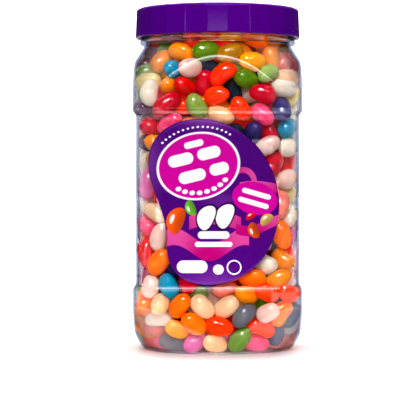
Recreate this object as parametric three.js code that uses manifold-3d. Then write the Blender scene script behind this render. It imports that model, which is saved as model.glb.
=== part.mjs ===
// A clear plastic sweet jar with a screw lid and a bean-shaped label, packed full of jelly beans.
// Millimetres, +Z up, the label faces -Y, and the origin is the middle of the base on the table.
import * as THREE from "three";
import { mergeVertices } from "three/addons/utils/BufferGeometryUtils.js";
import Module from "manifold-3d";

// Jar body: a rounded square with a recessed label panel between two bumper bands.
const bodyWidth = 87; // across the flats of the bumper bands
const cornerRadius = 15.7;
const recessDepth = 1.7;
const slopeHeight = 3.1; // of the slope between a band and the panel
const panelBottom = 34.9;
const panelTop = 121.1;
const wall = 0.9;

// Heel and shoulder: turned shapes, which the four flats cut into arches.
const footRadius = 37;
const footInnerRadius = 30;
const pushUp = 3.2; // height of the dome under the base
const turnedRadius = 56; // just past the corners of the rounded square
const heelTop = 25;
const shoulderBottom = 132.5;

// Neck with its support ring and screw thread.
const neckRadius = 38.6;
const boreRadius = 37.8;
const neckBottom = 159.1;
const ringRadius = 40.9;
const ringHeight = 3.2;
const finishRadius = 39.7;
const rimHeight = 176.5;
const threadPitch = 5;
const threadHeight = 0.95;
const threadWidth = 2.2;
const neckThreadStart = 167.6;

// Lid: a 24-sided cap. Its widths are measured from the axis to the middle of a side.
const lidSides = 24;
const lidBottom = 163;
const lidTop = 178.3;
const lidBottomReach = 42.95;
const lidTopReach = 42.4;
const lidSideShare = 0.84; // of each side that stays flat between its rounded edges
const lidBoreRadius = 41.35;
const lidEdgeRadius = 1.6;
const lidSkirtEdge = 0.5;
const lidPlate = 1.4;
const lidRecessRadius = 38.5;
const lidRecessDepth = 0.6;

// Label.
const labelGap = 0.3;
const labelThickness = 0.3;

// Jelly beans, as one lumpy filling.
const beanLength = 14.4;
const beanWidth = 10;
const beanGap = 0.6; // between the filling and the jar
const beanRelief = 1.6; // how deep the hollows between the beans are
const fillTop = 173.8;
const fillColumns = 46;

const turnedSegments = 48;
const cornerSegments = 6;
const curveSteps = 7;
const threadSteps = 24;

const wasm = await Module();
wasm.setup();

function solidFrom(geometry) {
  const bare = geometry.clone();
  bare.deleteAttribute("normal");
  bare.deleteAttribute("uv");
  const merged = mergeVertices(bare, 1e-3);
  const mesh = new wasm.Mesh({
    numProp: 3,
    vertProperties: merged.attributes.position.array,
    triVerts: new Uint32Array(merged.index.array),
  });
  return new wasm.Manifold(mesh);
}

function geometryFrom(solid) {
  const mesh = solid.getMesh();
  const geometry = new THREE.BufferGeometry();
  geometry.setAttribute("position", new THREE.BufferAttribute(mesh.vertProperties, 3));
  geometry.setIndex(new THREE.BufferAttribute(mesh.triVerts, 1));
  return geometry;
}

// A solid turned about Z from [radius, height] points that start and end on the axis.
function turned(points) {
  const profile = points.map(([r, z]) => new THREE.Vector2(r, z));
  const geometry = new THREE.LatheGeometry(profile, turnedSegments);
  return solidFrom(geometry.rotateX(Math.PI / 2));
}

// A solid skinned over rings of equally many points, with a fan over each end.
function skinned(rings) {
  const count = rings[0].length;
  const middle = (ring) => ring.reduce((sum, p) => sum.add(p), new THREE.Vector3()).divideScalar(count);
  const points = [...rings.flat(), middle(rings[0]), middle(rings.at(-1))];
  const bottom = rings.length * count;
  const faces = [];
  for (let j = 0; j < count; j++) {
    const next = (j + 1) % count;
    for (let i = 0; i + 1 < rings.length; i++) {
      const [a, b] = [i * count + j, i * count + next];
      faces.push(a, b, b + count, a, b + count, a + count);
    }
    const last = (rings.length - 1) * count;
    faces.push(bottom, next, j, bottom + 1, last + j, last + next);
  }
  const geometry = new THREE.BufferGeometry().setFromPoints(points);
  return solidFrom(geometry.setIndex(faces));
}

// The outline of a rounded square about the axis.
function roundedSquare(halfWidth, radius) {
  const points = [];
  for (let corner = 0; corner < 4; corner++) {
    for (let k = 0; k <= cornerSegments; k++) {
      const angle = (corner + k / cornerSegments) * (Math.PI / 2);
      const middle = (corner + 0.5) * (Math.PI / 2);
      const centre = (halfWidth - radius) * Math.SQRT2;
      points.push(
        new THREE.Vector2(
          centre * Math.cos(middle) + radius * Math.cos(angle),
          centre * Math.sin(middle) + radius * Math.sin(angle),
        ),
      );
    }
  }
  return points;
}

// How far the body's flats stand from the axis at a height.
function halfWidthAt(z) {
  const intoPanel = Math.min(z - (panelBottom - slopeHeight), panelTop + slopeHeight - z);
  const share = THREE.MathUtils.clamp(intoPanel / slopeHeight, 0, 1);
  return bodyWidth / 2 - recessDepth * share;
}

const heelCurve = new THREE.CubicBezierCurve(
  new THREE.Vector2(footRadius, 0),
  new THREE.Vector2(footRadius + 4.5, 0),
  new THREE.Vector2(42, 10),
  new THREE.Vector2(turnedRadius, heelTop),
);
const shoulderCurve = new THREE.QuadraticBezierCurve(
  new THREE.Vector2(turnedRadius, shoulderBottom),
  new THREE.Vector2(39.8, 156),
  new THREE.Vector2(neckRadius, neckBottom),
);

// Points of a profile curve, moved into the wall by an inset.
function insetPoints(curve, steps, inset) {
  return Array.from({ length: steps + 1 }, (_, i) => {
    const t = i / steps;
    const along = curve.getTangent(t);
    return curve.getPoint(t).add(new THREE.Vector2(-along.y, along.x).multiplyScalar(inset)).toArray();
  });
}

// The jar's body and neck as a full solid: inset 0 is its outside, and the wall's thickness its inside.
function jarSolid(inset, neckProfile) {
  const levels = [-5, panelBottom - slopeHeight, panelBottom, panelTop, panelTop + slopeHeight, rimHeight + 5];
  const square = skinned(
    levels.map((z) =>
      roundedSquare(halfWidthAt(z) - inset, cornerRadius - bodyWidth / 2 + halfWidthAt(z) - inset).map(
        (p) => new THREE.Vector3(p.x, p.y, z),
      ),
    ),
  );
  const round = turned([
    [0, pushUp + inset],
    [footInnerRadius * 0.55, pushUp * 0.8 + inset],
    [footInnerRadius, inset],
    ...insetPoints(heelCurve, curveSteps, inset),
    ...insetPoints(shoulderCurve, curveSteps, inset),
    ...neckProfile,
  ]);
  return square.intersect(round);
}

// One turn of screw thread that stands out of a wall of a radius: outward on the neck, inward in the lid.
function thread(radius, outward, start) {
  const rings = [];
  for (let i = 0; i <= threadSteps; i++) {
    const angle = (i / threadSteps) * 2 * Math.PI;
    const height = start + (i / threadSteps) * threadPitch;
    const fade = Math.min(1, 0.3 + Math.min(i, threadSteps - i) / 3);
    const root = radius - outward * 0.4;
    const crest = radius + outward * threadHeight * fade;
    const section = [
      [root, -threadWidth / 2],
      [crest, -threadWidth / 4],
      [crest, threadWidth / 4],
      [root, threadWidth / 2],
    ].map(([r, z]) => new THREE.Vector3(r * Math.cos(angle), r * Math.sin(angle), height + z));
    rings.push(outward > 0 ? section.reverse() : section);
  }
  return skinned(rings);
}

function makeJar() {
  const ringTop = neckBottom + ringHeight;
  const outside = jarSolid(0, [
    [neckRadius + 0.8, neckBottom + 0.1],
    [ringRadius, neckBottom + 0.7],
    [ringRadius, ringTop - 0.4],
    [ringRadius - 0.4, ringTop],
    [finishRadius, ringTop],
    [finishRadius, rimHeight - 0.5],
    [finishRadius - 0.5, rimHeight],
    [0, rimHeight],
  ]);
  const inside = jarSolid(wall, [
    [boreRadius, neckBottom + 1],
    [boreRadius, rimHeight + 1],
    [0, rimHeight + 1],
  ]);
  return outside.add(thread(finishRadius, 1, neckThreadStart)).subtract(inside);
}

// A ring round the lid, with two points on each of its sides.
function lidRing(reach, z) {
  const along = reach * Math.tan(Math.PI / lidSides) * lidSideShare;
  const points = [];
  for (let side = 0; side < lidSides; side++) {
    const angle = (side / lidSides) * 2 * Math.PI;
    const [x, y] = [Math.cos(angle), Math.sin(angle)];
    points.push(new THREE.Vector3(reach * x + along * y, reach * y - along * x, z));
    points.push(new THREE.Vector3(reach * x - along * y, reach * y + along * x, z));
  }
  return points;
}

function makeLid() {
  const rings = [
    lidRing(lidBottomReach - lidSkirtEdge, lidBottom),
    lidRing(lidBottomReach, lidBottom + lidSkirtEdge),
  ];
  for (let i = 0; i <= 4; i++) {
    const angle = (i / 4) * (Math.PI / 2);
    const reach = lidTopReach - lidEdgeRadius * (1 - Math.cos(angle));
    rings.push(lidRing(reach, lidTop - lidEdgeRadius * (1 - Math.sin(angle))));
  }
  const inside = turned([
    [0, lidBottom - 1],
    [lidBoreRadius, lidBottom - 1],
    [lidBoreRadius, lidTop - lidPlate - 1.5],
    [lidBoreRadius - 1.5, lidTop - lidPlate],
    [0, lidTop - lidPlate],
  ]);
  const recess = turned([
    [0, lidTop - lidRecessDepth],
    [lidRecessRadius - 1.2, lidTop - lidRecessDepth],
    [lidRecessRadius, lidTop],
    [lidRecessRadius, lidTop + 1],
    [0, lidTop + 1],
  ]);
  const shell = skinned(rings).subtract(inside).subtract(recess);
  return shell.add(thread(lidBoreRadius, -1, neckThreadStart - threadPitch / 2));
}

// The label's outline in its own flat X and Z, as seen from the front.
function labelShape() {
  const shape = new THREE.Shape();
  shape.moveTo(-9, 119.3);
  shape.bezierCurveTo(12, 119.3, 31, 100, 31, 76);
  shape.bezierCurveTo(31, 50, 14, 35.7, -4.5, 35.7);
  shape.bezierCurveTo(-19, 35.7, -25.6, 43, -25.6, 57);
  shape.bezierCurveTo(-25.6, 76, -35.3, 84, -35.3, 97.5);
  shape.bezierCurveTo(-35.3, 110, -24, 119.3, -9, 119.3);
  return shape;
}

// A thin band round the label panel, stamped out with the label's outline.
function makeLabel() {
  const grow = (gap) => {
    const halfWidth = bodyWidth / 2 - recessDepth + gap;
    const radius = cornerRadius - recessDepth + gap;
    return [panelBottom, panelTop].map((z) =>
      roundedSquare(halfWidth, radius).map((p) => new THREE.Vector3(p.x, p.y, z)),
    );
  };
  const band = skinned(grow(labelGap + labelThickness)).subtract(skinned(grow(labelGap)));
  const stamp = new THREE.ExtrudeGeometry(labelShape(), { depth: bodyWidth, bevelEnabled: false, curveSegments: 9 });
  return band.intersect(solidFrom(stamp.rotateX(Math.PI / 2)));
}

// The inside radius of the jar in one direction at a height.
function insideRadius(angle, z) {
  const half = halfWidthAt(z) - wall;
  const corner = cornerRadius - bodyWidth / 2 + half;
  const [x, y] = [Math.abs(Math.cos(angle)), Math.abs(Math.sin(angle))];
  let square = half / Math.max(x, y);
  if (square * Math.min(x, y) > half - corner) {
    const along = (half - corner) * (x + y);
    square = along + Math.sqrt(along * along - 2 * (half - corner) ** 2 + corner * corner);
  }
  return Math.min(square, roundRadius(z));
}

// The radius of the turned inside at a height, read off the heel, the shoulder and the bore.
function roundRadius(z) {
  const profile = [...insetPoints(heelCurve, 24, wall), ...insetPoints(shoulderCurve, 24, wall)];
  profile.push([boreRadius, neckBottom + 1], [boreRadius, rimHeight]);
  const above = profile.findIndex((p) => p[1] > z);
  const [low, high] = [profile[Math.max(above - 1, 0)], profile[above]];
  return THREE.MathUtils.mapLinear(Math.max(z, low[1]), low[1], high[1], low[0], high[0]);
}

// Staggered rows of bean-sized lumps: 0 on a lump's crown and 1 between the lumps.
function betweenBeans(along, across) {
  const row = Math.round(across / beanWidth);
  const stagger = row / 2 + 0.35 * Math.sin(1.7 * row);
  const u = along / beanLength + stagger;
  const v = across / beanWidth - row;
  return Math.min(1, 4 * ((u - Math.round(u)) ** 2 + v * v));
}

// A ring of the filling: share 1 lies against the wall, and smaller shares lie on the top.
function beanRing(z, share) {
  const ring = [];
  for (let j = 0; j < fillColumns; j++) {
    const angle = (j / fillColumns) * 2 * Math.PI;
    const [x, y] = [Math.cos(angle), Math.sin(angle)];
    const full = insideRadius(angle, z) - beanGap;
    const radius = share * (full - beanRelief * betweenBeans(full * angle, z));
    const dip = share < 1 ? beanRelief * betweenBeans(radius * x, radius * y) : 0;
    ring.push(new THREE.Vector3(radius * x, radius * y, z - dip));
  }
  return ring;
}

function makeBeans() {
  const clear = 0.6;
  const spans = [
    [wall + beanGap, panelBottom - slopeHeight - clear, 5],
    [panelBottom, panelTop, 10],
    [panelTop + slopeHeight + clear, neckBottom, 7],
    [neckBottom + 2, fillTop - beanRelief, 3],
  ];
  const levels = spans.flatMap(([low, high, count]) =>
    Array.from({ length: count }, (_, i) => THREE.MathUtils.lerp(low, high, i / (count - 1))),
  );
  const rings = levels.map((z) => beanRing(z, 1));
  rings.push(beanRing(fillTop, 0.8), beanRing(fillTop, 0.5), beanRing(fillTop, 0.25));
  const dome = turned([
    [0, -1],
    [footInnerRadius + 2, -1],
    [footInnerRadius + 2, wall + beanGap + 0.1],
    [footInnerRadius * 0.55, pushUp * 0.8 + wall + beanGap],
    [0, pushUp + wall + beanGap],
  ]);
  return skinned(rings).subtract(dome);
}

function part(name, solid, color, roughness, extra = {}) {
  const material = new THREE.MeshStandardMaterial({ color, roughness, metalness: 0, ...extra });
  const mesh = new THREE.Mesh(geometryFrom(solid), material);
  mesh.name = name;
  return mesh;
}

const sweetJar = new THREE.Group();
sweetJar.add(
  part("jar", makeJar(), 0xeef3f6, 0.05, { transparent: true, opacity: 0.25 }),
  part("lid", makeLid(), 0x4b0082, 0.25),
  part("label", makeLabel(), 0x52098c, 0.35),
  part("jelly_beans", makeBeans(), 0xf08a1c, 0.3),
);

export default sweetJar;
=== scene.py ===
import math

import bpy
import numpy as np
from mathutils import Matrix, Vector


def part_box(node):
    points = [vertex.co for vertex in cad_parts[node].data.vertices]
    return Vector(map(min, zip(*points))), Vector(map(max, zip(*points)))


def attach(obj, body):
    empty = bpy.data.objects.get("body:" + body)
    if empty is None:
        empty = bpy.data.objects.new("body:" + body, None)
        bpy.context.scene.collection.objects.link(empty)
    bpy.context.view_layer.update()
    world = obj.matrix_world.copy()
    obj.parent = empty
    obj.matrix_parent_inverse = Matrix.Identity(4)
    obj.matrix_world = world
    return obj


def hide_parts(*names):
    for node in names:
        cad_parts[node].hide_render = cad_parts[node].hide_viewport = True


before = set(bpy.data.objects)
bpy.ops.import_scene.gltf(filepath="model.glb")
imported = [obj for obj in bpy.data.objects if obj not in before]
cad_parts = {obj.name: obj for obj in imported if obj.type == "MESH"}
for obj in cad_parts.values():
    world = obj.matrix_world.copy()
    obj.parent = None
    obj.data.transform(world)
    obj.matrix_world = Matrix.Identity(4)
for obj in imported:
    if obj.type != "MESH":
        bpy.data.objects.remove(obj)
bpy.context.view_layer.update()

scene = bpy.context.scene
mm = 0.001  # lengths in the dictionaries are millimetres, and Blender's are metres
jarHigh = np.array(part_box("jar")[1]) / mm
lidLow, lidHigh = (np.array(corner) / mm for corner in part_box("lid"))
beansLow, beansHigh = (np.array(corner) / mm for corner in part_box("jelly_beans"))


def paint(red, green, blue):  # a screen colour, 0 to 255, as a linear one
    screen = np.array((red, green, blue)) / 255
    linear = np.where(screen <= 0.04045, screen / 12.92, ((screen + 0.055) / 1.055) ** 2.4)
    return (*(float(value) for value in linear), 1.0)


class Wire:  # a node's output, worked with like a number
    def __init__(self, maker, socket):
        self.maker = maker
        self.socket = socket

    def reckon(self, operation, *operands):
        return self.maker.node("ShaderNodeMath", {"operation": operation}, dict(enumerate(operands)))

    def __add__(self, other):
        return self.reckon("ADD", self, other)

    def __sub__(self, other):
        return self.reckon("SUBTRACT", self, other)

    def __mul__(self, other):
        return self.reckon("MULTIPLY", self, other)

    def __truediv__(self, other):
        return self.reckon("DIVIDE", self, other)

    def __pow__(self, other):
        return self.reckon("POWER", self, other)

    def __rsub__(self, other):
        return self.reckon("SUBTRACT", other, self)

    def __abs__(self):
        return self.reckon("ABSOLUTE", self)

    def atLeast(self, other):
        return self.reckon("MAXIMUM", self, other)

    def sine(self):
        return self.reckon("SINE", self)

    def part(self):  # what is left above the whole number
        return self.reckon("FRACT", self)

    def ramp(self, low, high):  # from 0 to 1, smoothly
        settings = {"interpolation_type": "SMOOTHSTEP"}
        return self.maker.node("ShaderNodeMapRange", settings, {0: self, 1: low, 2: high, 3: 0.0, 4: 1.0})


class Maker:  # adds nodes to one node tree
    def __init__(self, owner):
        owner.use_nodes = True
        self.tree = owner.node_tree
        self.tree.nodes.clear()

    def node(self, kind, settings=None, sockets=None, output=0):
        node = self.tree.nodes.new(kind)
        for name, value in (settings or {}).items():
            setattr(node, name, value)
        for key, value in (sockets or {}).items():
            if isinstance(value, Wire):
                self.tree.links.new(value.socket, node.inputs[key])
            else:
                node.inputs[key].default_value = value
        return Wire(self, node.outputs[output]) if len(node.outputs) else None

    def mixed(self, share, first, second):  # two colours
        return self.node("ShaderNodeMix", {"data_type": "RGBA"}, {0: share, 6: first, 7: second}, 2)

    def noise(self, vector, scale, detail=2.0, roughness=0.5):
        sockets = {"Vector": vector, "Scale": scale, "Detail": detail, "Roughness": roughness}
        return self.node("ShaderNodeTexNoise", None, sockets)

    def bump(self, height, distance, strength):
        sockets = {"Height": height, "Distance": distance, "Strength": strength}
        return self.node("ShaderNodeBump", None, sockets)

    def place(self):  # a point of the piece, in metres
        return self.node("ShaderNodeTexCoord", None, None, "Object")

    def axis(self, vector, index):  # one of a vector's three numbers
        return self.node("ShaderNodeSeparateXYZ", None, {0: vector}, index)

    def stretched(self, vector, scale, turn=(0, 0, 0)):
        return self.node("ShaderNodeMapping", None, {0: vector, 2: turn, 3: scale})

    def ray(self, kind):  # 1 for a ray of that kind
        return self.node("ShaderNodeLightPath", None, None, "Is %s Ray" % kind)

    def principled(self, look):
        return self.node("ShaderNodeBsdfPrincipled", None, look)

    def blended(self, share, first, second):  # two shaders
        return self.node("ShaderNodeMixShader", None, {0: share, 1: first, 2: second})

    def finish(self, shader):
        self.node("ShaderNodeOutputMaterial", None, {0: shader})


def newMaterial(name):
    material = bpy.data.materials.new(name)
    return material, Maker(material)


def newPiece(name, vertices, faces, material):
    mesh = bpy.data.meshes.new(name)
    mesh.from_pydata(np.asarray(vertices, float) * mm, [], faces)
    mesh.shade_smooth()
    piece = bpy.data.objects.new(name, mesh)
    scene.collection.objects.link(piece)
    mesh.materials.append(material)
    return piece


def ringFaces(rows, columns):  # quads over rows of points, and a fan on each end
    across = np.arange(columns)
    beside = (across + 1) % columns
    quads = []
    for row in range(rows - 1):
        low, high = row * columns, (row + 1) * columns
        quads.append(np.stack([low + across, low + beside, high + beside, high + across], 1))
    faces = np.concatenate(quads).tolist()
    bottom, top = rows * columns, rows * columns + 1
    last = (rows - 1) * columns
    faces += np.stack([across * 0 + bottom, beside, across], 1).tolist()
    faces += np.stack([across * 0 + top, last + across, last + beside], 1).tolist()
    return faces


def bezier(points, steps):
    along = np.linspace(0, 1, steps + 1)[:, None]
    layers = [np.array(point, float) for point in points]
    while len(layers) > 1:
        layers = [first * (1 - along) + second * along for first, second in zip(layers, layers[1:])]
    return layers[0]


studio = {
    "eyeHeight": 86,
    "eyeDistance": 952,  # in front of the jar's axis
    "lens": 162.5,
    "shift": (-0.044, -0.0375),  # the jar stands right of the middle, and a little high
    "exposure": 0.4,
    "floor": (244, 244, 246),
    "floorReach": 12000,
    "farFloor": (130, 130, 132),  # what the jar mirrors beyond its bright patch
    "backGlow": 0.3,  # the floor behind the jar, as the jar's edges mirror it
    "floorGlow": 0.5,  # what keeps the far floor as white as the wall
    "nearGlow": 0.25,  # the bright patch under the jar, as it mirrors it
    "heelGlow": 1.5,  # its front rim, a pale line where the flat front meets the heel
    "backWorld": 0.9,  # a pale wall behind the jar, seen through it but not mirrored
    "skyMirror": 0.2,  # its upper part, which the shoulder mirrors
    "sideWorld": 0.16,  # what shows at the sides through the jar's bent edges
    "frontWorld": 0.03,  # a dark room in front of it
    # lamps, in metres, and where they point; the last three are placed to draw glints on the lid
    "lamps": [
        ("key", (0, -1.02, 1.0), (1.3, 0.58), 3.5, (0, 0, 0.09)),
        ("top", (0, 0.5, 1.4), (1.5, 1.1), 2.6, (0, 0, 0.09)),
        ("lidCard", (0, -1.35, 0.375), (0.34, 0.16), 2.2, (0, 0, 0.17)),
        ("lidStripLeft", (-0.95, -0.98, 0.38), (0.16, 0.2), 3.0, (0, 0, 0.17)),
        ("lidStripRight", (0.95, -0.98, 0.38), (0.16, 0.2), 3.0, (0, 0, 0.17)),
    ],
    "wallDistance": 1350,  # low white walls, which the jar's round corners mirror
    "wallGap": 75,  # from the middle to each, which the flat front mirrors as a dark gap
    "wallTop": 270,  # low enough that the lid doesn't mirror them
    "wallRadiance": 0.3,
    "flagStart": 130,  # a dark strip on the floor in front, which keeps the flat front clear
    "flagEnd": 3000,
    "flatFront": 42,  # how far the jar's flat front is from its axis
    "flatHalf": 30,
}

camera = bpy.data.objects.new("camera", bpy.data.cameras.new("camera"))
camera.location = (0, -studio["eyeDistance"] * mm, studio["eyeHeight"] * mm)
camera.rotation_euler = (math.pi / 2, 0, 0)
camera.data.lens = studio["lens"]
camera.data.sensor_width = 36
camera.data.shift_x, camera.data.shift_y = studio["shift"]
scene.collection.objects.link(camera)
scene.camera = camera
scene.view_settings.view_transform = "Standard"
scene.view_settings.look = "High Contrast"
scene.view_settings.exposure = studio["exposure"]


def areaLight(name, place, size, radiance, aim=(0, 0, 0.09)):
    lamp = bpy.data.lights.new(name, "AREA")
    lamp.shape = "RECTANGLE"
    lamp.size, lamp.size_y = size
    lamp.energy = radiance * math.pi * size[0] * size[1]
    holder = bpy.data.objects.new(name, lamp)
    holder.location = place
    direction = np.array(aim, float) - np.array(place, float)
    flat = math.hypot(direction[0], direction[1])
    holder.rotation_euler = (math.atan2(flat, -direction[2]), 0, math.atan2(-direction[0], direction[1]))
    holder.visible_camera = False
    scene.collection.objects.link(holder)
    return holder


def makeWorld():
    world = bpy.data.worlds.new("studio")
    scene.world = world
    maker = Maker(world)
    direction = maker.node("ShaderNodeTexCoord", None, None, "Generated")
    east, north, up = (maker.axis(direction, index) for index in range(3))
    mirrored = maker.ray("Reflection")
    behind = north.ramp(-0.3, 0.45) * studio["backWorld"]
    sky = north.ramp(-0.1, 0.3) * up.ramp(0.15, 0.4) * studio["skyMirror"]
    through = maker.ray("Transmission") * abs(east).ramp(0.4, 0.8) * studio["sideWorld"]
    room = behind.atLeast(through) * (1 - mirrored) + sky * mirrored + studio["frontWorld"]
    strength = room.atLeast(maker.ray("Camera"))
    background = maker.node("ShaderNodeBackground", None, {"Color": (1, 1, 1, 1), "Strength": strength})
    maker.node("ShaderNodeOutputWorld", None, {0: background})


def makeFloor():
    material, maker = newMaterial("floor_white")
    place = maker.place()
    distance = maker.node("ShaderNodeVectorMath", {"operation": "LENGTH"}, {0: place}, 1)
    seen = maker.ray("Camera").atLeast(maker.ray("Transmission"))
    pale = maker.mixed(maker.noise(place, 60, 4), paint(*studio["floor"]), paint(250, 250, 250))
    away = distance.ramp(0.1, 0.14) * (1 - seen)
    middle = 1 - abs(maker.axis(place, 0)).ramp(0.05, 0.07)
    rim = distance.ramp(0.06, 0.075) * middle * studio["heelGlow"]
    patch = (1 - distance.ramp(0.105, 0.115)) * (rim + studio["nearGlow"])
    back = maker.axis(place, 1).ramp(0.05, 0.4) * studio["backGlow"]
    glow = seen * (distance.ramp(0.03, 0.22) + distance.ramp(0.5, 3)) * studio["floorGlow"]
    glow = glow + maker.ray("Reflection") * (patch + back)
    maker.finish(maker.principled({
        "Base Color": maker.mixed(away, pale, paint(*studio["farFloor"])),
        "Roughness": 0.6,
        "Emission Color": maker.mixed(glow, (0, 0, 0, 1), (1, 1, 1, 1)),
        "Emission Strength": 1.0,
    }))
    reach = studio["floorReach"]
    corners = [(-reach, -reach, 0), (reach, -reach, 0), (reach, reach, 0), (-reach, reach, 0)]
    floor = newPiece("floor", corners, [(0, 1, 2, 3)], material)


def makeWalls():  # open at the camera
    material, maker = newMaterial("wall_glow")
    sockets = {"Color": (1, 1, 1, 1), "Strength": studio["wallRadiance"]}
    maker.finish(maker.node("ShaderNodeEmission", None, sockets))
    distance, count = studio["wallDistance"], 24
    turns = np.linspace(math.asin(studio["wallGap"] / distance), math.pi, count)
    for side, name in ((-1, "left_wall"), (1, "right_wall")):
        feet = np.stack([side * distance * np.sin(turns), -distance * np.cos(turns), turns * 0 + 2], 1)
        points = np.concatenate([feet, feet + (0, 0, studio["wallTop"])])
        faces = [(row, row + 1, row + count + 1, row + count) for row in range(count - 1)]
        wall = newPiece(name, points, faces, material)
        wall.visible_camera = False
        wall.visible_transmission = False


def makeFlag():
    material, maker = newMaterial("flag_black")
    maker.finish(maker.node("ShaderNodeBsdfDiffuse", None, {"Color": (0.01, 0.01, 0.01, 1)}))
    near, far, front = studio["flagStart"], studio["flagEnd"], studio["flatFront"]
    corners = []
    for side, depth in ((-1, far), (1, far), (1, near), (-1, near)):
        # as wide as what the flat front mirrors at that depth, and a little more
        half = studio["flatHalf"] * (1 + (depth - front) / (studio["eyeDistance"] - front)) + 2
        corners.append((side * half, -depth, 1))
    flag = newPiece("floor_flag", corners, [(0, 1, 2, 3)], material)
    flag.visible_camera = False
    flag.visible_diffuse = False
    flag.visible_shadow = False


makeWorld()
makeFloor()
for lamp in studio["lamps"]:
    areaLight(*lamp)
makeWalls()
makeFlag()
print("studio ready")


jar = {
    "halfWidth": jarHigh[0],
    "cornerRadius": 15.7,
    "recess": 1.7,
    "slope": 3.1,
    "panelBottom": 34.9,
    "panelTop": 121.1,
    "wall": 0.9,
    "crease": 0.9,  # how wide the flats blend into the round heel and shoulder
    "pushUp": 3.2,
    "footInner": 30,
    "heel": [(37, 0), (41.5, 0), (42, 10), (56, 25)],  # radius and height
    "shoulder": [(56, 132.5), (39.8, 156), (38.6, 159)],
    "ring": (39.4, 160.9, 1.5),  # radius, height and half-width of the bead under the lid
    "finishRadius": 39.7,
    "boreRadius": 37.8,
    "columns": 300,
    "tint": (246, 247, 251),
    "paintedEdgeShadeTint": (190, 193, 206),  # painted edge shade: at grazing angles the wall turns into a see-through film of this greyer tint, standing in for the light the bent edges carry along the wall
    "shadowTint": (244, 245, 248),
}


def halfWidthAt(height, ledge=True):
    low = np.clip((height - jar["panelBottom"]) / jar["slope"] + 1, 0, 1)
    high = np.clip((jar["panelTop"] - height) / jar["slope"] + 1, 0, 1)
    lowShare = 1 - np.sqrt(1 - low**2) if ledge else low * low * (3 - 2 * low)
    return jar["halfWidth"] - jar["recess"] * np.minimum(lowShare, high * high * (3 - 2 * high))


def insetCurve(curve, inset):
    along = np.gradient(curve, axis=0)
    along /= np.linalg.norm(along, axis=1)[:, None]
    return curve + np.stack([-along[:, 1], along[:, 0]], 1) * inset


def squareReach(angle, halfWidth, corner):  # how far a rounded square reaches in each direction
    x, y = np.abs(np.cos(angle)), np.abs(np.sin(angle))
    reach = halfWidth / np.maximum(x, y)
    middle = (halfWidth - corner) * (x + y)
    turn = middle + np.sqrt(np.maximum(middle**2 - 2 * (halfWidth - corner) ** 2 + corner**2, 0))
    return np.where(reach * np.minimum(x, y) > halfWidth - corner, turn, reach)


def softLeast(first, second, width):  # the smaller of two, blended where they cross
    share = np.clip(0.5 + 0.5 * (second - first) / width, 0, 1)
    return second * (1 - share) + first * share - width * share * (1 - share)


def turnedProfile(inset, share):  # a share of 1 is the finest
    pushUp, inner, slope = jar["pushUp"], jar["footInner"], jar["slope"]
    dome = [(reach, pushUp * (1 - (reach / inner) ** 2.7) + inset) for reach in np.linspace(0, inner, 12)]
    heel = insetCurve(bezier(jar["heel"], round(60 * share)), inset)
    shoulder = insetCurve(bezier(jar["shoulder"], round(80 * share)), inset)
    heights = [27.5, 30.5]
    for low in (jar["panelBottom"] - slope, jar["panelTop"]):
        heights += list(np.linspace(low - 0.3, low + slope + 0.3, round(14 * share)))
    heights += [126, 130]
    sides = [(jar["heel"][-1][0] - inset, height) for height in heights]
    return np.concatenate([dome, heel, sides, shoulder])


def neckProfile():
    radius, height, half = jar["ring"]
    turn = np.linspace(0, math.pi, 9)
    bead = np.stack([radius + half * np.sin(turn), height - half * np.cos(turn)], 1)
    finish, top = jar["finishRadius"], jarHigh[2]
    outside = [(finish, 163), (finish, top - 0.6), (finish - 0.3, top - 0.1), (finish - 0.8, top)]
    bore = jar["boreRadius"]
    inside = [(bore + 0.4, top), (bore, top - 0.4), (bore, 168), (bore, 160.5)]
    return np.concatenate([bead, outside, inside])


def ring(reach, angle, height):
    level = np.full(len(angle), height)
    return np.stack([reach * np.cos(angle), reach * np.sin(angle), level], 1)


def jarRings(profile, inset):
    angle = np.linspace(0, 2 * math.pi, jar["columns"], endpoint=False)
    rings = []
    for radius, height in profile:
        half = halfWidthAt(height) - inset
        reach = squareReach(angle, half, jar["cornerRadius"] - jar["halfWidth"] + half)
        reach = softLeast(np.full_like(reach, radius), reach, jar["crease"])
        rings.append(ring(reach, angle, height))
    return rings


def makeJar():
    material, maker = newMaterial("clear_plastic")
    place = maker.place()
    streaks = maker.noise(maker.stretched(place, (90, 90, 14)), 1.0, 3)
    ripple = maker.noise(place, 55, 2)
    edge = maker.node("ShaderNodeLayerWeight", None, {"Blend": 0.5}, "Facing")
    clear = maker.principled({
        "Base Color": maker.mixed(streaks, paint(*jar["tint"]), paint(252, 252, 254)),
        "Roughness": ripple * 0.03 + 0.015,
        "IOR": 1.57,
        "Transmission Weight": 1.0,
        "Normal": maker.bump(ripple, 0.0004, 0.25),
    })
    # painted edge shade: towards grazing angles most of the wall is swapped for a greyer see-through film
    edgeShadeFilm = maker.node("ShaderNodeBsdfTransparent", None, {0: paint(*jar["paintedEdgeShadeTint"])})
    clear = maker.blended(edge.ramp(0.38, 0.68) * 0.85, clear, edgeShadeFilm)
    soft = maker.node("ShaderNodeBsdfTransparent", None, {0: paint(*jar["shadowTint"])})
    maker.finish(maker.blended(maker.ray("Shadow").atLeast(maker.ray("Diffuse")), clear, soft))

    outside = turnedProfile(0, 1)
    inside = turnedProfile(jar["wall"], 0.6)
    rings = jarRings(outside[1:], 0) + jarRings(neckProfile(), 0)
    rings += jarRings(inside[:0:-1], jar["wall"])
    points = np.concatenate(rings + [[(0, 0, outside[0][1])], [(0, 0, inside[0][1])]])
    piece = newPiece("jar_wall", points, ringFaces(len(rings), jar["columns"]), material)
    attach(piece, "root")
    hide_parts("jar")
    print("jar made:", len(points), "points")


makeJar()


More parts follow.
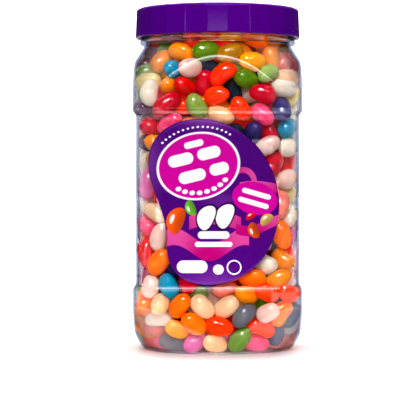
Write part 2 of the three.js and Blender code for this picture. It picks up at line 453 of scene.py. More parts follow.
lid = {
    "sides": 24,
    "bottomReach": 42.95,  # from the axis to the middle of a side
    "topReach": 42.4,
    "sideShare": 0.84,
    "edge": 1.6,
    "skirtEdge": 0.5,
    "bore": 41.35,
    "plate": 1.4,
    "recessRadius": 38.5,
    "recessDepth": 0.6,
    "purple": (109, 0, 160),
    "deepPurple": (102, 0, 152),
}


def lidOutline(reach):  # one ring of points: each side is flat, and its corners are small arcs
    pitch = 2 * math.pi / lid["sides"]
    half = reach * math.tan(pitch / 2)
    flat = half * lid["sideShare"]
    radius = (half - flat) / math.tan(pitch / 2)  # of the arc between two flats
    points = []
    for side in range(lid["sides"]):
        angle = side * pitch - math.pi / 2
        out = np.array((math.cos(angle), math.sin(angle)))
        along = np.array((-math.sin(angle), math.cos(angle)))
        for share in (-1, -0.93, -0.5, 0, 0.5, 0.93, 1):
            points.append(out * reach + along * flat * share)
        centre = out * (reach - radius) + along * flat
        for turn in (0.33, 0.67):
            arc = angle + pitch * turn
            points.append(centre + radius * np.array((math.cos(arc), math.sin(arc))))
    return np.array(points)


def makeLid():
    material, maker = newMaterial("lid_plastic")
    place = maker.place()
    cloud = maker.noise(place, 35, 3)
    scuffs = maker.noise(maker.stretched(place, (60, 60, 500), (0.2, 0.3, 0.5)), 1.0, 4)
    maker.finish(maker.principled({
        "Base Color": maker.mixed(cloud, paint(*lid["purple"]), paint(*lid["deepPurple"])),
        "Roughness": cloud * 0.05 + scuffs.ramp(0.62, 0.74) * 0.25 + 0.1,
        "IOR": 1.33,
        "Normal": maker.bump(maker.noise(place, 420, 3), 0.00008, 0.35),
    }))

    low, high, skirt, edge = lidLow[2], lidHigh[2], lid["skirtEdge"], lid["edge"]
    steps = []
    for turn in np.linspace(0, math.pi / 2, 4):
        steps.append((lid["bottomReach"] - skirt * (1 - math.sin(turn)), low + skirt * (1 - math.cos(turn))))
    steps.append((lid["bottomReach"] - 0.02, low + skirt + 0.3))
    for turn in np.linspace(0, math.pi / 2, 8):
        steps.append((lid["topReach"] - edge * (1 - math.cos(turn)), high - edge * (1 - math.sin(turn))))
    count = len(lidOutline(lid["topReach"]))
    sides = [np.column_stack([lidOutline(reach), np.full(count, height)]) for reach, height in steps]
    angle = np.arctan2(sides[0][:, 1], sides[0][:, 0])

    recess, depth, plate, bore = lid["recessRadius"], lid["recessDepth"], lid["plate"], lid["bore"]
    dish = [(recess + 1.2, 0), (recess + 0.5, 0.02), (recess, 0.1), (recess - 0.5, 0.5)]
    dish += [(recess - 1.1, 0.9), (recess - 2, 1), (recess * 0.5, 1)]
    top = [ring(radius, angle, high - depth * share) for radius, share in dish]
    ceiling = high - plate
    inside = [(bore * 0.5, ceiling), (bore - 1.5, ceiling), (bore - 0.5, ceiling - 0.4)]
    inside += [(bore, ceiling - 1.5), (bore, low + 0.3), (bore + 0.2, low)]
    inside.append((lid["bottomReach"] - 0.9, low))
    under = [ring(radius, angle, height) for radius, height in inside]
    rings = under + sides + top
    points = np.concatenate(rings + [[(0, 0, ceiling)], [(0, 0, high - depth)]])
    piece = newPiece("lid_cap", points, ringFaces(len(rings), count), material)
    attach(piece, "root")
    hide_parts("lid")
    print("lid made")


makeLid()


label = {
    "gap": 0.3,
    "thickness": 0.3,
    "rings": 26,
    "centre": (-2, 78),
    "outline": [  # five arcs, each from where the last one ends
        (-9, 119.3), (12, 119.3), (31, 100), (31, 76), (31, 50), (14, 35.7), (-4.5, 35.7), (-19, 35.7),
        (-25.6, 43), (-25.6, 57), (-25.6, 76), (-35.3, 84), (-35.3, 97.5), (-35.3, 110), (-24, 119.3),
        (-9, 119.3),
    ],
    "purple": (95, 0, 136),
    "lightPurple": (160, 90, 186),
    "magenta": (217, 0, 169),
    "ribbonDark": (196, 0, 130),
    "ribbonLight": (226, 94, 168),
    "white": (254, 253, 254),
    "dark": (50, 0, 75),
    # ovals are across, up, half-length, half-height and lean; a glow's strength stands last
    "glows": [
        (-5, 119, 22, 8, 0, 0.6), (-3, 35, 24, 14, 0, 0.48), (-37, 98, 14, 30, 0, 0.55),
        (2, 78, 14, 7, 0, 0.3),
    ],
    "badge": (-9.7, 95.6, 21.3, 17.1, 12),
    "smallBadge": (18.8, 79.3, 11.6, 8.2, -14),
    "ring": (8.3, 44.5, 3.4, 3.4, 0),
    "loop": (12.2, 86.5, 6.2, 7.2, -20, 0.42),  # a ribbon's, and the share of it that the ribbon is wide
    # start, end, middle height, swing, waves, width and phase of the other ribbons
    "ribbons": [
        (11, 31, 84.6, 1.2, 0.5, 4.6, 0.4), (-14.5, 12, 66.5, 3.2, 0.5, 7, 0.1),
        (-26, 16, 56, 4, 1.17, 8.5, 0.87), (9, 31, 66, 3.2, 0.547, 5.2, 3.78),
    ],
    # rows of white dots: size against the badge, first and last angle, step, and half a dot's width
    "dots": [(0.79, -143, -39, 13, 1.35), (1.14, 36, 132, 6, 0.62)],
    "pair": [(3.4, 70.6, 13, 66), (-6.0, 69.8, 13, 66)],  # across, up, length and lean of white beans
    "pairRim": 1.16,
    # across, up, length, height and lean of the white bars
    "bars": [
        (-12, 106.6, 10, 3.4, 14), (-18.6, 98.6, 13, 6, 14), (-4.4, 102.1, 12, 6, 14),
        (-12.8, 90.4, 14, 6, 14), (0.8, 94.2, 10, 6, 14), (19.6, 81.6, 15, 2.6, -16),
        (18, 77, 16, 2.6, -16), (-2, 60.8, 16, 3.8, 0), (-2, 56.1, 19, 2.6, 0),
        (-12.8, 44.8, 15.5, 6.4, 0), (0.4, 43.4, 5.4, 5, 0),
    ],
    # across, up, length, lean and colour of the shaded beans
    "drawn": [
        (-21.3, 68.3, 14, 70, (255, 112, 10)), (-13.8, 74.3, 8, 112, (130, 205, 60)),
        (16.5, 70.3, 5.5, 30, (235, 40, 70)), (24.5, 68.8, 7.6, 40, (228, 190, 110)),
        (18, 63, 8.5, 112, (225, 100, 10)),
    ],
}


def onPanel(across, height, lift):  # wraps flat label places round the jar's panel
    flat = jar["halfWidth"] - jar["cornerRadius"]
    radius = jar["cornerRadius"] - jar["recess"] + lift
    turn = np.maximum(np.abs(across) - flat, 0) / radius
    x = np.sign(across) * (np.minimum(np.abs(across), flat) + radius * np.sin(turn))
    y = -(flat + radius * np.cos(turn))
    return np.stack([x, y, height], 1)


def span(first, second):  # the long side over two sides at a right angle
    return (first**2.0 + second**2.0) ** 0.5


class Print:  # what is printed on the label, one shape over another
    def __init__(self, maker, flat):
        self.maker = maker
        self.x = maker.axis(flat, 0)
        self.z = maker.axis(flat, 1)
        self.colour = paint(*label["purple"])

    def lay(self, share, colour):
        self.colour = self.maker.mixed(share, self.colour, colour)

    def turned(self, across, up, lean):  # places seen from a point, along and beside a leaning line
        turn = math.radians(lean)
        x, z = self.x - across, self.z - up
        return x * math.cos(turn) + z * math.sin(turn), z * math.cos(turn) - x * math.sin(turn)

    def oval(self, across, up, length, height, lean):  # 1 on its rim, less inside
        along, beside = self.turned(across, up, lean)
        return span(along / length, beside / height)

    def bean(self, across, up, length, lean):  # 1 inside its outline, and the places in it
        along, beside = self.turned(across, up, lean)
        bent = beside + along * along * (0.35 / length)
        reach = (along * (2 / length)) ** 2.0 + (bent * (3.1 / length)) ** 2.0
        return 1 - reach.ramp(0.9, 1.08), along, bent

    def shadedBean(self, across, up, length, lean, colour):
        inside, along, bent = self.bean(across, up, length, lean)
        glint = (along * (5 / length)) ** 2.0 + ((bent - length * 0.13) * (12 / length)) ** 2.0
        shade = (bent * (1.6 / length) + 0.5).ramp(0.0, 0.9)
        dark = [value * 0.55 for value in colour[:3]]
        body = self.maker.mixed(shade, (*dark, 1), colour)
        body = self.maker.mixed((1 - glint.ramp(0.5, 1.2)) * 0.75, body, (1, 1, 1, 1))
        self.lay(inside, body)

    def bar(self, across, up, length, height, lean):  # with round ends
        along, beside = self.turned(across, up, lean)
        over = (abs(along) - (length - height) / 2).atLeast(0.0)
        inside = 1 - span(over, beside).ramp(height / 2 - 0.2, height / 2 + 0.2)
        self.lay(inside, paint(*label["white"]))

    def dots(self, oval, out, start, end, step, size):  # in a row along an oval
        across, up, length, height, lean = oval
        along, beside = self.turned(across, up, lean)
        along, beside = along / length, beside / height
        radius = (length + height) / 2
        angle = beside.reckon("ARCTAN2", beside, along) * (180 / math.pi)
        near = ((angle / step).part() - 0.5) * (math.radians(step) * radius * out)
        off = (span(along, beside) - out) * radius
        dot = 1 - span(near, off).ramp(size * 0.8, size * 1.15)
        dot = dot * angle.ramp(start - 0.5, start + 0.5) * (1 - angle.ramp(end - 0.5, end + 0.5))
        self.lay(dot, paint(*label["white"]))

    def pink(self, tone):
        return self.maker.mixed(tone, paint(*label["ribbonDark"]), paint(*label["ribbonLight"]))

    def ribbon(self, start, end, middle, swing, waves, width, phase):
        share = (self.x - start) / (end - start)
        wave = (share * (waves * 2 * math.pi) + phase).sine()
        offset = (self.z - middle) - wave * swing
        soft = 0.3 / (end - start)
        inside = 1 - abs(offset).ramp(width * 0.46, width * 0.54)
        inside = inside * share.ramp(0, soft) * (1 - share.ramp(1 - soft, 1))
        tone = (wave * 0.5 + 0.5) * 0.8 + offset * (0.25 / width)
        self.lay(inside, self.pink(tone.ramp(0.0, 0.9)))

    def loop(self, across, up, length, height, lean, width):  # its upper half
        rim = abs(self.oval(across, up, length, height, lean) - 1)
        inside = (1 - rim.ramp(width * 0.44, width * 0.56)) * (self.z - up).ramp(-0.6, 0.6)
        self.lay(inside, self.pink((self.x - across).ramp(-length, length)))


def printedColour(maker, flat):
    art = Print(maker, flat)
    magenta, white, dark = paint(*label["magenta"]), paint(*label["white"]), paint(*label["dark"])
    for *oval, strength in label["glows"]:
        art.lay((1 - art.oval(*oval).ramp(0.0, 1.0)) * strength, paint(*label["lightPurple"]))
    art.loop(*label["loop"])
    for ribbon in label["ribbons"]:
        art.ribbon(*ribbon)
    badge = art.oval(*label["badge"])
    art.lay(1 - badge.ramp(0.985, 1.015), white)
    art.lay(1 - badge.ramp(0.925, 0.95), magenta)
    art.lay(1 - art.oval(*label["smallBadge"]).ramp(0.98, 1.02), magenta)
    for row in label["dots"]:
        art.dots(label["badge"], *row)
    for across, up, length, lean in label["pair"]:
        art.lay(art.bean(across, up, length * label["pairRim"], lean)[0], dark)
        art.lay(art.bean(across, up, length, lean)[0], white)
    for bar in label["bars"]:
        art.bar(*bar)
    art.lay(1 - abs(art.oval(*label["ring"]) - 1).ramp(0.09, 0.13), white)
    for *bean, colour in label["drawn"]:
        art.shadedBean(*bean, paint(*colour))
    return art.colour


def makeLabel():
    material, maker = newMaterial("label_film")
    place = maker.place()
    printed = printedColour(maker, maker.node("ShaderNodeUVMap", {"uv_map": "flat"}))
    maker.finish(maker.principled({
        "Base Color": maker.mixed(maker.noise(place, 900, 2) * 0.1, printed, paint(80, 0, 110)),
        "Roughness": maker.noise(place, 60, 3) * 0.08 + 0.24,
        "IOR": 1.3,
        "Normal": maker.bump(maker.noise(place, 40, 2), 0.0003, 0.2),
    }))

    arcs = [label["outline"][start : start + 4] for start in range(0, 15, 3)]
    outline = np.concatenate([bezier(arc, 34)[:-1] for arc in arcs])[::-1]
    count = len(outline)
    centre = np.array(label["centre"])
    shares = np.linspace(0, 1, label["rings"] + 1)[1:]
    rings = [centre + (outline - centre) * share for share in shares]
    flatPoints = np.concatenate(rings + rings[::-1] + [[centre], [centre]])
    half = len(rings) * count
    lift = np.full(len(flatPoints), label["gap"])
    lift[half : 2 * half] += label["thickness"]
    lift[-1] += label["thickness"]
    points = onPanel(flatPoints[:, 0], flatPoints[:, 1], 0)
    normals = onPanel(flatPoints[:, 0], flatPoints[:, 1], 1) - points
    points += normals * lift[:, None]
    piece = newPiece("label_skin", points, ringFaces(2 * len(rings), count), material)
    layer = piece.data.uv_layers.new(name="flat")
    corners = np.zeros(len(piece.data.loops), int)
    piece.data.loops.foreach_get("vertex_index", corners)
    layer.data.foreach_set("uv", flatPoints[corners].astype(np.float32).ravel())
    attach(piece, "root")
    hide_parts("label")
    print("label made")


makeLabel()


beans = {
    "count": 650,
    "halfLength": 7.35,
    "radius": 4.95,
    "sizeSpread": 0.035,
    "lengthSpread": 0.04,
    # how far each bean may differ from an egg: blunt ends, a bend, a dent on one side, a flat side
    "blunt": (0.78, 0.95),
    "bend": 0.22,
    "dent": 0.25,
    "flat": (0.9, 1.0),
    "lopsided": 0.045,
    "lumps": 0.012,
    "around": 22,
    "along": 13,
    "glow": 0.08,  # painted glow: each bean gives off a little light in its own colour, standing in for light that gets through a bean from behind
    "rounds": 1300,
    "seed": 5,
    "coreHalf": 21,
    "coreCorner": 8,
    "coreLow": 26,
    "coreHigh": 166,
    # lamps for the beans alone, in metres: soft light that they don't mirror, and sparks that they only mirror
    "lamps": [
        ("fill", (0, -1.3, 0.65), (1.0, 0.6), 4.1, "visible_glossy"),
        ("backFill", (0, 1.3, 0.65), (1.0, 0.6), 4.4, "visible_glossy"),
        ("spark", (-0.15, -1.0, 1.05), (0.5, 0.35), 190, "visible_diffuse"),
        ("sideSpark", (0.6, -1.0, 0.8), (0.22, 0.3), 90, "visible_diffuse"),
    ],
}

# each kind of bean: its colour, a second colour it is clouded with, how much, and how often it comes up
# at the top, in the middle and at the bottom
kinds = {
    "tangerine": ((255, 152, 0), (255, 168, 0), 0.5, (12, 1, 5)),
    "orange": ((252, 122, 0), (255, 140, 0), 0.5, (7, 2, 8)),
    "amber": ((224, 142, 0), (214, 126, 0), 0.6, (14, 1, 5)),
    "yellow": ((250, 166, 0), (255, 184, 0), 0.5, (8, 1, 1)),
    "mustard": ((188, 135, 0), (172, 142, 2), 0.6, (9, 1, 0)),
    "straw": ((216, 192, 125), (222, 202, 150), 0.6, (0, 2, 1)),
    "cream": ((222, 190, 155), (220, 178, 138), 0.5, (0, 2, 3)),
    "ivory": ((212, 199, 180), (222, 210, 192), 0.6, (0, 4, 2)),
    "peach": ((234, 190, 145), (230, 168, 116), 0.6, (0, 1, 3)),
    "salmon": ((222, 124, 106), (226, 150, 132), 0.6, (0, 2, 2)),
    "vermilion": ((252, 74, 0), (250, 56, 0), 0.6, (5, 3, 5)),
    "scarlet": ((220, 14, 4), (204, 0, 5), 0.6, (1, 4, 1)),
    "crimson": ((202, 0, 48), (182, 0, 40), 0.6, (1, 5, 1)),
    "maroon": ((125, 0, 8), (105, 5, 5), 0.5, (2, 3, 1)),
    "pink": ((234, 65, 115), (240, 122, 155), 0.8, (0, 4, 2)),
    "blush": ((216, 182, 166), (222, 195, 182), 0.6, (0, 3, 1)),
    "lilac": ((202, 105, 158), (215, 135, 178), 0.6, (0, 2, 1)),
    # painted shade: a pink darkened the way pink beans look in shade
    "shadedPink": ((160, 60, 90), (140, 50, 80), 0.5, (0, 2, 1)),
    "plum": ((88, 22, 76), (65, 15, 65), 0.6, (0, 2, 1)),
    "navy": ((64, 50, 112), (50, 42, 100), 0.6, (0, 2, 1)),
    "slate": ((68, 82, 106), (88, 100, 122), 0.6, (0, 1, 1)),
    "ink": ((30, 48, 62), (38, 40, 55), 0.6, (0, 1, 1)),
    "grey": ((108, 108, 114), (122, 122, 124), 0.6, (0, 1, 1)),
    "turquoise": ((0, 140, 168), (0, 150, 176), 0.6, (0, 2, 1)),
    "green": ((100, 142, 0), (120, 150, 15), 0.7, (4, 2, 2)),
    "sage": ((140, 164, 72), (162, 180, 108), 0.7, (2, 1, 1)),
}

# beans laid against the front, by kind: across, height, lean in degrees, depth behind the wall, and
# how far the bean turns away from the front, in degrees, if it does
front = {
    "tangerine": [(-18, 154.5, -15, 0), (-21.6, 12.2, -15, 0)],
    "green": [(-4, 155, 0, 0), (15, 139.8, -15, 0, 40), (-41.5, 131, 90, 4), (11.5, 8.3, 48, 0),
        (-27, 154, 80, 4)],
    "turquoise": [(-25, 145.5, 0, 0, 55), (36.5, 115, 20, 0, 50), (-26.8, 36.4, -68, 0)],
    "blush": [(-14.5, 145.3, 30, 0, 55), (14, 130.5, -25, 3), (27.8, 103.2, -3, 0), (36.8, 89, 10, 2),
        (39, 41.5, 80, 2), (25, 22.7, 25, 0, 35), (-35.2, 34.6, 60, 1), (-29.8, 59.3, 60, 0, 20),
        (-2.5, 31, -30, 4)],
    "slate": [(-5, 146.5, 0, 3), (30.3, 9.8, 60, 1), (-35.5, 122.5, 0, 4), (41, 20, 90, 4)],
    "ink": [(8, 136, 90, 3), (-21, 18, 80, 7)],
    "vermilion": [(2.3, 141.8, 28, 0), (-19, 128, 80, 1, 40), (0.3, 130.2, 15, 0, 20),
        (10.8, 124.7, -38, 0), (40, 54, 85, 2), (26.5, 32, -8, 0), (37.8, 30.5, -60, 1), (0.8, 14.9, -2, 0),
        (22.5, 14.2, -18, 0), (-12, 158, 0, 4), (15, 115.5, 10, 3)],
    "straw": [(-35.2, 139.5, -5, 1), (37.5, 130, 60, 3), (35.6, 81.5, 25, 0, 30)],
    "amber": [(-25.5, 137, 90, 2), (27.5, 149.5, 85, 1, 30), (33.5, 47.8, -48, 0), (32, 38.8, 0, 2),
        (15, 31, -15, 1), (-37, 22.3, 60, 0, 30), (13, 154, 90, 2), (-30, 148, 45, 5), (23, 158, 0, 4)],
    "scarlet": [(-16.3, 136.5, -20, 0, 35), (36.7, 97, 60, 0, 30), (-36, 51.5, 70, 1)],
    "crimson": [(-7, 137, 80, 1), (-27.3, 129, 30, 0, 30), (-34.5, 116.5, 60, 0, 30), (23.8, 132.3, -14, 0),
        (28, 112, 85, 3), (30.5, 94.8, 60, 1), (40, 147.5, 90, 4), (-30, 122, 0, 4)],
    "maroon": [(-34.5, 147.5, 0, 5), (32, 109, 60, 5), (-18, 36, 0, 6)],
    "mustard": [(7.5, 155, 0, 1, 30), (33, 156, 0, 3)],
    "orange": [(17, 158, 0, 3), (33.8, 60.3, -62, 0), (20.5, 40.8, -3, 1), (34.3, 21.6, 30, 0, 30),
        (-12.7, 17.5, -22, 0), (-19.5, 26.8, 62, 0), (-30.2, 47.3, 42, 0)],
    "yellow": [(19.5, 150.3, -35, 0, 20)],
    "sage": [(8, 147, -20, 3), (26.5, 142, 10, 1), (-9.8, 126, -58, 0), (-10.5, 33.5, 0, 2),
        (-37, 145.5, 0, 4)],
    "salmon": [(34.5, 147.5, 60, 1, 40), (32.8, 72.5, 75, 1), (5, 34.3, 40, 2), (-34, 13, -10, 1),
        (33.5, 5.5, 20, 2)],
    "peach": [(37, 141.3, 0, 3), (1.5, 119.8, -20, 0), (-0.9, 5.6, -12, 0), (-30, 27.5, 70, 2)],
    "ivory": [(33.6, 136, -38, 0, 20), (-34, 131.3, 88, 0), (36.8, 106, 0, 1, 40), (38.2, 72.2, 70, 1),
        (26.6, 47.7, -38, 0), (37.5, 12.7, 60, 1), (-29.3, 17.7, -8, 0, 20), (-38, 77.5, 80, 2),
        (-38, 97, 85, 1), (40, 124, 90, 2)],
    "pink": [(-24.5, 117.5, 40, 0), (24.8, 121.6, -50, 0), (21.5, 5.3, 0, 1), (-36.8, 66.5, -60, 1)],
    "plum": [(-39, 124.5, 0, 3), (-36, 108.8, 0, 1, 30)],
    "navy": [(33.6, 123.5, 85, 0, 35), (20.2, 111.3, 58, 0)],
    "grey": [(14, 20.3, 50, 0)],
    "cream": [(4.7, 24.6, 35, 0), (-8.3, 24.3, -38, 0), (-31.8, 71.2, -55, 0)],
    "lilac": [(-38, 84.5, 80, 1), (-11.5, 6.5, 60, 0), (39, 63, 80, 3)],
    # painted shade: pink beans in a darkened pink, as they look in shade
    "shadedPink": [(-33, 152, 0, 3), (-40.5, 40, 85, 4)],
}

ceiling = lidHigh[2] - lid["plate"]
neck = [(jar["boreRadius"], 160.5), (jar["boreRadius"], ceiling), (0, ceiling)]
insideProfile = np.concatenate([turnedProfile(jar["wall"], 0.25), neck])


def squareDepth(x, y, half, corner):  # how far outside a rounded square each point is, and the way out
    overX, overY = np.abs(x) - (half - corner), np.abs(y) - (half - corner)
    outX, outY = np.maximum(overX, 0), np.maximum(overY, 0)
    length = np.hypot(outX, outY)
    depth = length + np.minimum(np.maximum(overX, overY), 0) - corner
    outside = length > 1e-9
    wayX = np.where(outside, outX / np.maximum(length, 1e-9), overX > overY) * np.sign(x)
    wayY = np.where(outside, outY / np.maximum(length, 1e-9), overX <= overY) * np.sign(y)
    return depth, wayX, wayY


def profileDepth(radius, height):  # the same for the turned heel, shoulder, neck and lid
    start, step = insideProfile[:-1], np.diff(insideProfile, axis=0)
    square = (step**2).sum(1)
    inward = np.stack([-step[:, 1], step[:, 0]], 1) / np.sqrt(square)[:, None]
    offset = np.stack([radius, height], 1)[:, None] - start
    share = np.clip((offset * step).sum(2) / square, 0, 1)
    gap = offset - share[:, :, None] * step
    nearest = (gap**2).sum(2).argmin(1)
    pick = np.arange(len(nearest))
    gap, inward = gap[pick, nearest], inward[nearest]
    distance = np.sqrt((gap**2).sum(1))
    side = np.where((gap * inward).sum(1) > 0, 1.0, -1.0)
    way = np.where(distance[:, None] > 1e-6, gap * (side / np.maximum(distance, 1e-6))[:, None], inward)
    return distance * side, way


def pushes(points, radii):  # how balls have to move to be inside the jar and outside the core
    x, y, z = points.T
    push = np.zeros_like(points)
    half = halfWidthAt(z, ledge=False) - jar["wall"]
    depth, wayX, wayY = squareDepth(x, y, half, jar["cornerRadius"] - jar["halfWidth"] + half)
    over = np.maximum(depth + radii, 0)
    push[:, 0] -= over * wayX
    push[:, 1] -= over * wayY
    ends = (z < 34) | (z > 126)  # where the turned shapes are narrower than the rounded square
    reach = np.maximum(np.hypot(x[ends], y[ends]), 1e-6)
    distance, way = profileDepth(reach, z[ends])
    over = np.maximum(radii[ends] - distance, 0)
    push[ends, 0] += over * way[:, 0] * x[ends] / reach
    push[ends, 1] += over * way[:, 0] * y[ends] / reach
    push[ends, 2] += over * way[:, 1]
    depth, wayX, wayY = squareDepth(x, y, beans["coreHalf"], beans["coreCorner"])
    level = np.maximum(np.minimum(z - beans["coreLow"], beans["coreHigh"] - z) + radii, 0)
    over = np.minimum(np.maximum(radii - depth, 0), level)
    push[:, 0] += over * wayX
    push[:, 1] += over * wayY
    return push


def layFront():  # where the front beans belong, which way they lie, and which of them touch the wall
    laid = [row for rows in front.values() for row in rows]
    goal, goalAxis = np.zeros((len(laid), 3)), np.zeros((len(laid), 3))
    for index, (across, height, lean, depth, *away) in enumerate(laid):
        goal[index] = (across, -37 + depth, height)
        lean, away = math.radians(lean), math.radians(sum(away))
        goalAxis[index] = (math.cos(lean) * math.cos(away), math.sin(away), math.sin(lean) * math.cos(away))
    return goal, goalAxis, np.array([row[3] < 0.5 for row in laid])


def scatterRest(random, goal):  # the others start clear of the front ones
    place = goal.copy()
    while len(place) < beans["count"]:
        tries = random.uniform((-43, -43, 2), (43, 43, 176), (1000, 3))
        free = np.abs(pushes(tries, np.full(len(tries), 4.6))).sum(1) < 1e-9
        free &= np.sqrt(((tries[:, None] - goal) ** 2).sum(2)).min(1) > 9
        behindLabel = (np.abs(tries[:, 0] + 2) < 24) & (np.abs(tries[:, 2] - 78) < 34)
        free &= behindLabel | (tries[:, 1] > -27) | (tries[:, 2] > 160)
        place = np.concatenate([place, tries[free]])
    return place[: beans["count"]]


def parted(axis, balls, offsets, radii, inertia, first, second):  # how beans move and turn apart
    between = (balls[first][:, :, None] - balls[second][:, None]).reshape(len(first), 25, 3)
    distance = np.sqrt((between**2).sum(2))
    overlap = (radii[first][:, :, None] + radii[second][:, None]).reshape(len(first), 25) - distance
    worst = overlap.argmax(1)
    row = np.arange(len(first))
    touching = overlap[row, worst] > 0
    row, worst, one, two = row[touching], worst[touching], first[touching], second[touching]
    way = between[row, worst] / np.maximum(distance[row, worst], 1e-9)[:, None]
    touched, give = [], 0
    for bean, arm in ((one, offsets[one, worst // 5]), (two, offsets[two, worst % 5])):
        side = way - axis[bean] * (axis[bean] * way).sum(1)[:, None]
        give = give + (1 + arm**2 * (side**2).sum(1) / inertia[bean])
        touched.append((bean, arm, side))
    amount = overlap[row, worst] / give
    move, swing = np.zeros_like(axis), np.zeros_like(axis)
    for sign, (bean, arm, side) in zip((1, -1), touched):
        turning = amount * arm / inertia[bean]
        for part in range(3):
            move[:, part] += sign * np.bincount(bean, amount * way[:, part], len(axis))
            swing[:, part] += sign * np.bincount(bean, turning * side[:, part], len(axis))
    return move, swing, overlap.max(), overlap[row, worst].mean()


def heldIn(axis, balls, offsets, radii, inertia):  # how the jar and the core move and turn them
    count = len(axis)
    wall = pushes(balls.reshape(-1, 3), radii.ravel()).reshape(count, 5, 3)
    hardest = np.linalg.norm(wall, axis=2).argmax(1)
    every = np.arange(count)
    wall, arm = wall[every, hardest], offsets[every, hardest]
    side = wall - axis * (axis * wall).sum(1)[:, None]
    force = np.maximum(np.linalg.norm(wall, axis=1), 1e-9)
    give = 1 + arm**2 * (side**2).sum(1) / force**2 / inertia
    return wall / give[:, None], (arm / inertia / give)[:, None] * side


def settleBeans():
    random = np.random.default_rng(beans["seed"])
    count, rounds = beans["count"], beans["rounds"]
    size = random.normal(1, beans["sizeSpread"], count).clip(0.9, 1.1)
    longs = beans["halfLength"] * size * random.normal(1, beans["lengthSpread"], count).clip(0.9, 1.1)
    wides = beans["radius"] * size
    goal, goalAxis, atWall = layFront()
    held = len(goal)
    place = scatterRest(random, goal)
    axis = random.normal(size=(count, 3))
    axis[:held] = goalAxis
    axis /= np.linalg.norm(axis, axis=1)[:, None]
    stations = np.array((-0.97, -0.55, 0, 0.55, 0.97))  # five balls along each bean
    for turn in range(rounds):
        grown = min(1.0, 0.55 + 0.45 * turn / (rounds * 0.5))
        longNow, wideNow = longs * grown, wides * grown
        focus = longNow**2 - wideNow**2
        offsets = stations * (focus / longNow)[:, None]
        radii = wideNow[:, None] * np.sqrt(1 - offsets**2 / focus[:, None])
        inertia = (longNow**2 + wideNow**2) / 5
        if turn % 8 == 0:
            apart = ((place[:, None] - place[None]) ** 2).sum(2)
            first, second = np.nonzero(np.triu(apart < (2 * longNow.max() + 1.5) ** 2, 1))
        balls = place[:, None] + axis[:, None] * offsets[:, :, None]
        move, swing, deepest, usual = parted(axis, balls, offsets, radii, inertia, first, second)
        wallMove, wallSwing = heldIn(axis, balls, offsets, radii, inertia)
        move += wallMove
        swing += wallSwing
        ease = np.full((count, 3), 0.55)
        if turn < rounds * 0.93:  # the laid ones give way in depth rather than sideways
            ease[:held, ::2] *= 0.1
        place += ease * move
        axis += ease * swing
        if turn < rounds * 0.85:
            place[:held, ::2] += 0.3 * (goal - place[:held])[:, ::2]
            place[:held, 1] += np.where(atWall, -0.04, 0.02 * (goal[:, 1] - place[:held, 1]))
            facing = np.sign((goalAxis * axis[:held]).sum(1))[:, None]
            axis[:held] += 0.15 * (goalAxis * facing - axis[:held])
        if turn < rounds * 0.9:  # the rest lean out to the wall and sink a little
            flatLength = np.maximum(np.linalg.norm(place[held:, :2], axis=1), 1e-6)[:, None]
            place[held:, :2] += 0.02 * place[held:, :2] / flatLength
            place[held:, 2] -= 0.012
        axis /= np.linalg.norm(axis, axis=1)[:, None]
    drift = np.hypot(*(place[:held] - goal)[:, ::2].T)
    print("beans settled: deepest overlap %.2f mm, mean %.2f mm" % (deepest, usual))
    print("front beans: %.2f mm from where they were laid, at most %.2f mm" % (drift.mean(), drift.max()))
    return place, axis, longs, wides, held


def pickKinds(place, held, random):
    names = list(kinds)
    chosen = [name for name, rows in front.items() for _ in rows]
    for spot in place[held:]:
        level = (spot[2] - beansLow[2]) / (beansHigh[2] - beansLow[2])
        top, bottom = max(0, 2 * level - 1) ** 0.6, max(0, 1 - 2 * level)
        shares = np.array([np.dot(kinds[name][3], (top, 1 - top - bottom, bottom)) for name in names])
        near = np.linalg.norm(place[: len(chosen)] - spot, axis=1) < 13
        for index in np.nonzero(near)[0]:
            shares[names.index(chosen[index])] *= 0.35  # seldom two alike side by side
        chosen.append(names[random.choice(len(names), p=shares / shares.sum())])
    return np.array(chosen)


def beanPoints(longs, wides, place, axis, random):  # the points of several beans, one row for each
    around, along = beans["around"], beans["along"]
    polar = np.linspace(0, math.pi, along + 2)[1:-1]
    turn = np.linspace(0, 2 * math.pi, around, endpoint=False)
    x = np.append(np.repeat(np.cos(polar), around), (1, -1))
    y = np.append(np.outer(np.sin(polar), np.cos(turn)), (0, 0))
    z = np.append(np.outer(np.sin(polar), np.sin(turn)), (0, 0))
    count = len(longs)
    blunt = random.uniform(*beans["blunt"], (count, 1))
    bend = random.uniform(0.0, beans["bend"], (count, 1)) ** 1.2
    dent = random.uniform(0.0, beans["dent"], (count, 1))
    flat = random.uniform(*beans["flat"], (count, 1))
    girth = 1 + random.normal(0, beans["lopsided"], (count, 1)) * x
    localX = longs[:, None] * (np.sign(x) * np.abs(x) ** blunt)
    localY = wides[:, None] * (y * girth + bend * (0.45 - x**2))
    localY += wides[:, None] * dent * np.maximum(-y, 0) * np.exp(-((x / 0.45) ** 2))
    localZ = wides[:, None] * flat * z * girth
    for _ in range(3):
        lump = random.normal(size=(count, 3, 1))
        phase = random.uniform(0, 6.3, (count, 1))
        wave = np.sin(2.2 * (lump[:, 0] * x + lump[:, 1] * y + lump[:, 2] * z) + phase) * beans["lumps"]
        localX, localY, localZ = localX * (1 + wave), localY * (1 + wave), localZ * (1 + wave)
    side = np.cross(axis, random.normal(size=(count, 3)))
    side /= np.linalg.norm(side, axis=1)[:, None]
    up = np.cross(axis, side)
    points = localX[:, :, None] * axis[:, None] + localY[:, :, None] * side[:, None]
    return points + localZ[:, :, None] * up[:, None] + place[:, None]


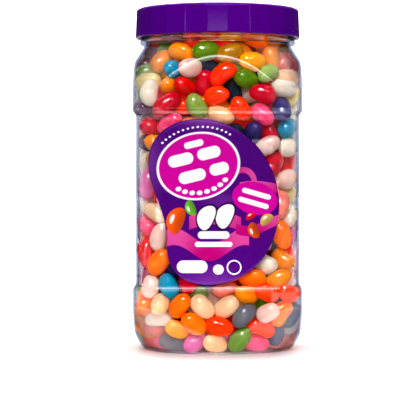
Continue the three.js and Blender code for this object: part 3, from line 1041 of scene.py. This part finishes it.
def beanMaterial(name, first, second, clouding):
    material, maker = newMaterial("bean_" + name)
    place = maker.place()
    tone = maker.node("ShaderNodeAttribute", {"attribute_name": "tone"}, None, "Fac")
    cloud = maker.noise(place, 260, 3, 0.55).ramp(0.35, 0.68)
    colour = maker.mixed(cloud * clouding, paint(*first), paint(*second))
    deep = tuple(value**1.25 * 0.8 for value in paint(*first)[:3]) + (1,)
    colour = maker.mixed(tone * 0.35, colour, deep)
    maker.finish(maker.principled({
        "Base Color": colour,
        "Roughness": maker.noise(place, 140, 2) * 0.08 + 0.07,
        "IOR": 1.33,
        "Subsurface Weight": 0.9,
        "Subsurface Radius": (1.0, 0.7, 0.5),
        "Subsurface Scale": 0.004,
        "Coat Weight": 0.1,
        "Coat Roughness": 0.04,
        # painted glow: emission in the bean's own colour
        "Emission Color": maker.mixed(beans["glow"], (0, 0, 0, 1), colour),
        "Emission Strength": 1.0,
        "Normal": maker.bump(maker.noise(place, 480, 2), 0.00012, 0.3),
    }))
    return material


def makeCore():
    # painted shade: a block in the middle stands in for the beans deep inside, coloured a dull dark orange and
    # red, darker than the beans, as they look in shade
    material, maker = newMaterial("core_painted_shade")
    cloud = maker.noise(maker.place(), 90, 3)
    maker.finish(maker.principled({
        "Base Color": maker.mixed(cloud.ramp(0.35, 0.65), paint(190, 70, 20), paint(150, 40, 40)),
        "Roughness": cloud * 0.2 + 0.5,
    }))
    angle = np.linspace(0, 2 * math.pi, 72, endpoint=False)
    heights = np.linspace(beans["coreLow"], beans["coreHigh"], 40)
    outline = squareReach(angle, beans["coreHalf"] - 1.5, beans["coreCorner"])
    rings = []
    for height in heights:
        ripple = 0.9 * np.sin(angle * 9 + height * 0.5) * np.sin(height * 0.42)
        rings.append(ring(outline + ripple, angle, height))
    points = np.concatenate(rings + [[(0, 0, heights[0])], [(0, 0, heights[-1])]])
    return newPiece("bean_core", points, ringFaces(len(rings), len(angle)), material)


def joinBeans(name, points, tone, material):  # one piece from the points of several beans
    perBean = points.shape[1]
    single = ringFaces(beans["along"], beans["around"])
    starts = range(0, len(points) * perBean, perBean)
    faces = [[corner + start for corner in face] for start in starts for face in single]
    piece = newPiece(name, points.reshape(-1, 3), faces, material)
    layer = piece.data.attributes.new("tone", "FLOAT", "POINT")
    layer.data.foreach_set("value", np.repeat(tone, perBean).astype(np.float32))
    return piece


def makeBeans():
    place, axis, longs, wides, held = settleBeans()
    random = np.random.default_rng(beans["seed"] + 1)
    chosen = pickKinds(place, held, random)
    tone = random.uniform(0, 1, len(place))
    pieces = [makeCore()]
    for name, (first, second, clouding, _) in kinds.items():
        mine = np.nonzero(chosen == name)[0]
        if len(mine):
            points = beanPoints(longs[mine], wides[mine], place[mine], axis[mine], random)
            material = beanMaterial(name, first, second, clouding)
            pieces.append(joinBeans("beans_" + name, points, tone[mine], material))
    shiny = bpy.data.collections.new("shiny")
    for piece in pieces:
        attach(piece, "root")
        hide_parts("jelly_beans")
        shiny.objects.link(piece)
    for *lamp, off in beans["lamps"]:
        lamp = areaLight(*lamp)
        lamp.light_linking.receiver_collection = shiny
        setattr(lamp, off, False)
    print("beans made:", len(place))


makeBeans()
